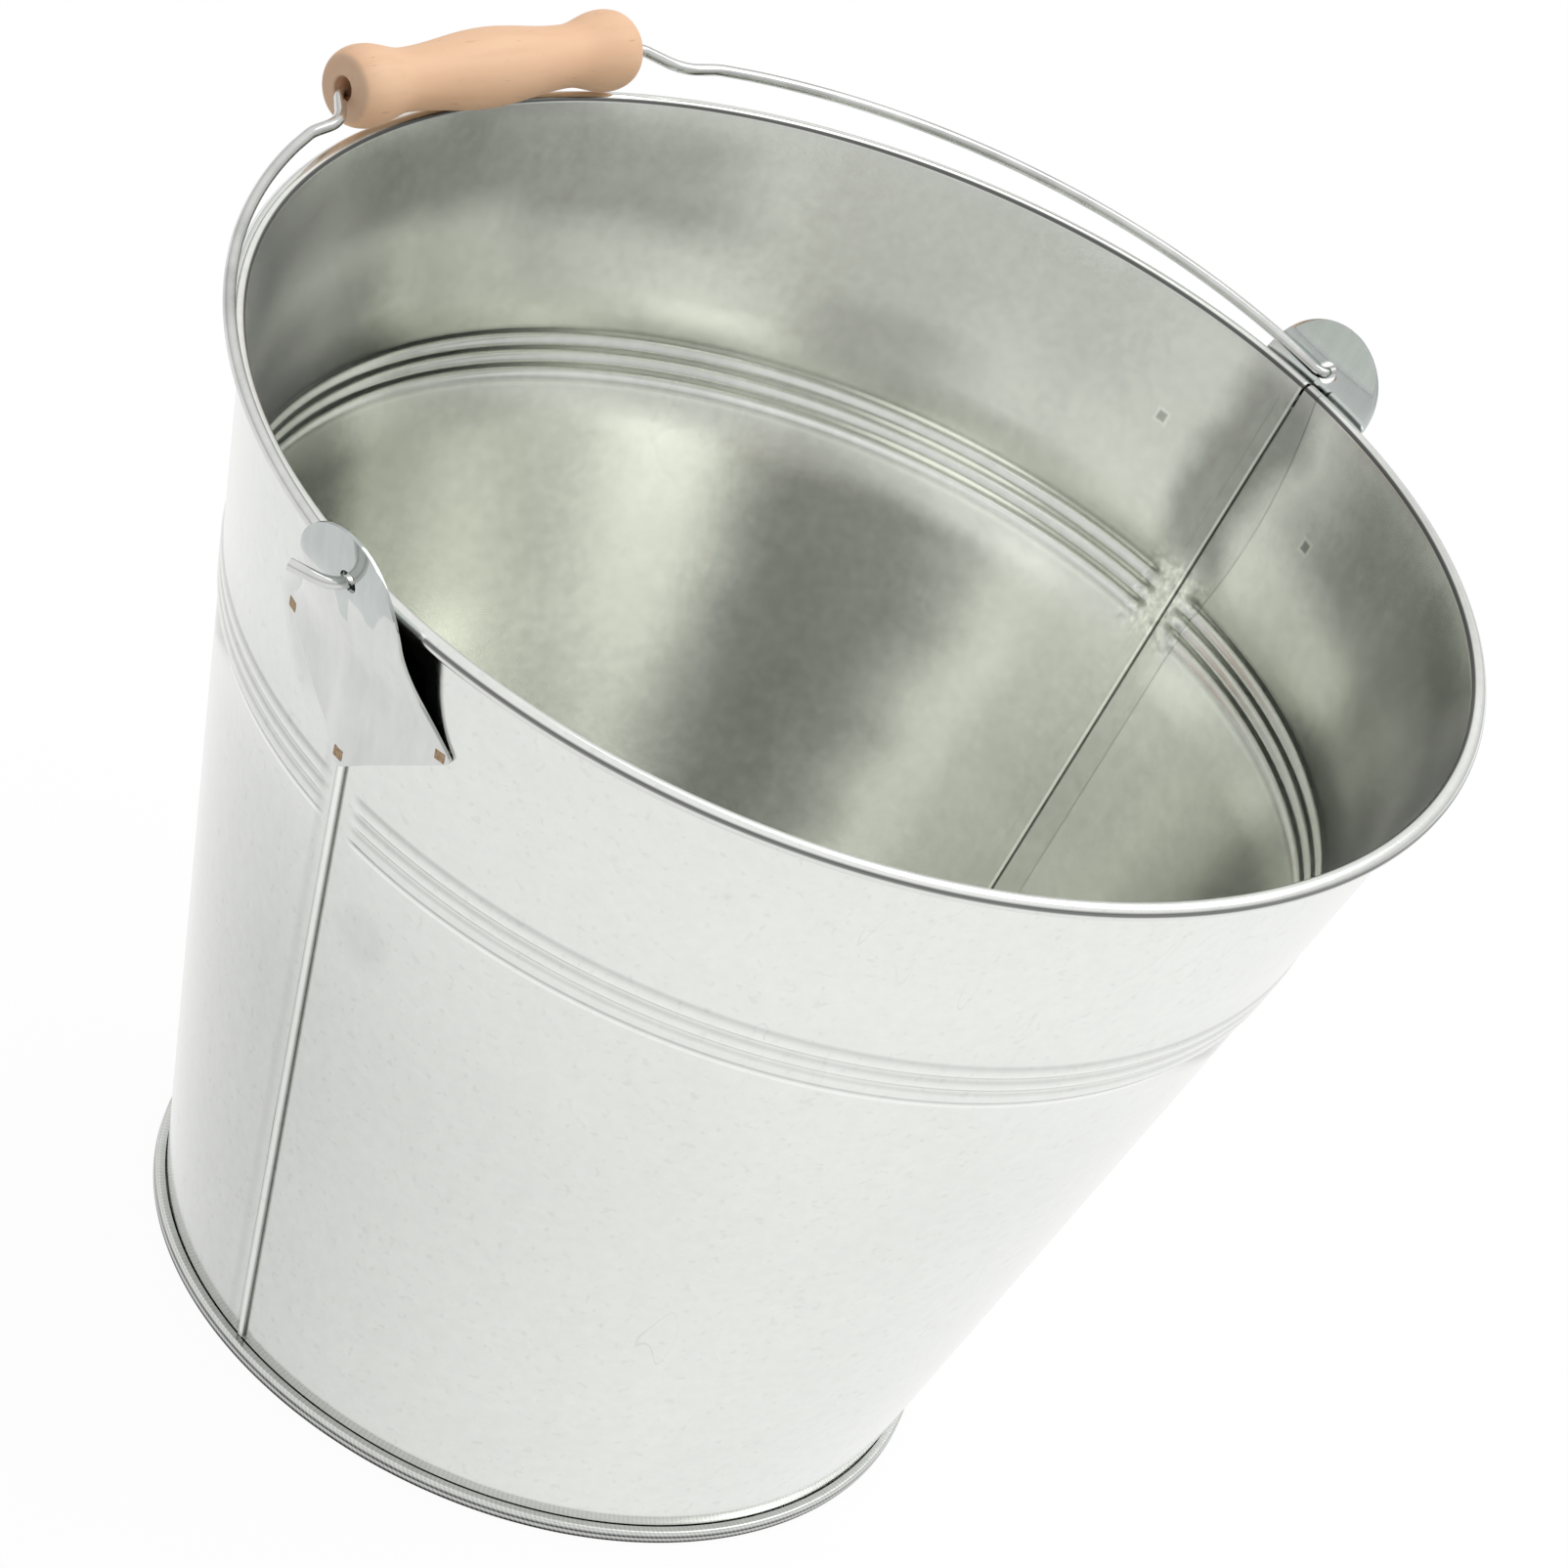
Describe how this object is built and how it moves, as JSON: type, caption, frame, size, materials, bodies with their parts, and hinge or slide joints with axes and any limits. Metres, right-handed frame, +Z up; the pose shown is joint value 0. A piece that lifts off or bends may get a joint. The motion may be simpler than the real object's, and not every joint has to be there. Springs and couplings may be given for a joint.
{
  "type": "bucket",
  "caption": "Galvanised steel pail with lock-seamed tapered wall, rolled rim, recessed base, welded ears and a folding wire bail with a turned wooden grip",
  "frame": {"origin": "centre of the underside of the recessed base disc, on the pail's axis; the foot ring reaches 3.75 mm lower", "axes": "+Z up along the pail's axis; X runs through both ears and lock seams and is the bail's hinge line; the bail rests folded towards +Y"},
  "size_m": [0.344, 0.3157, 0.2702],
  "materials": {
    "galvanised_sheet": "hot-dip galvanised, satin",
    "galvanised_base": "galvanised, dull",
    "zinc_wire": "bare wire, hidden in the rim",
    "bright_ear": "bright zinc, smooth",
    "weld_scale": "heat-tinted spot weld",
    "bail_steel": "zinc-coated drawn wire",
    "turned_beech": "turned beech, untreated"
  },
  "bodies": {
    "bucket": {"shell_half_back": "galvanised_sheet", "shell_half_front": "galvanised_sheet", "base_disc": "galvanised_base", "rim_wire": "zinc_wire", "ear_left": "bright_ear", "ear_right": "bright_ear", "weld_left_point": "weld_scale", "weld_left_side_a": "weld_scale", "weld_left_side_b": "weld_scale", "weld_right_point": "weld_scale", "weld_right_side_a": "weld_scale", "weld_right_side_b": "weld_scale"},
    "bail": {"bail_wire": "bail_steel"},
    "hand_grip": {"grip": "turned_beech"}
  },
  "joints": [
    {"name": "bail_hinge", "type": "hinge", "parent": "bucket", "child": "bail", "pos_m": [0, 0, 0.24725], "axis": [1, 0, 0], "range_deg": [0, 173.1]},
    {"name": "grip_spin", "type": "hinge", "parent": "bail", "child": "hand_grip", "pos_m": [-0.0028, 0.15133, 0.25634], "axis": [1, 0, 0], "continuous": true}
  ]
}
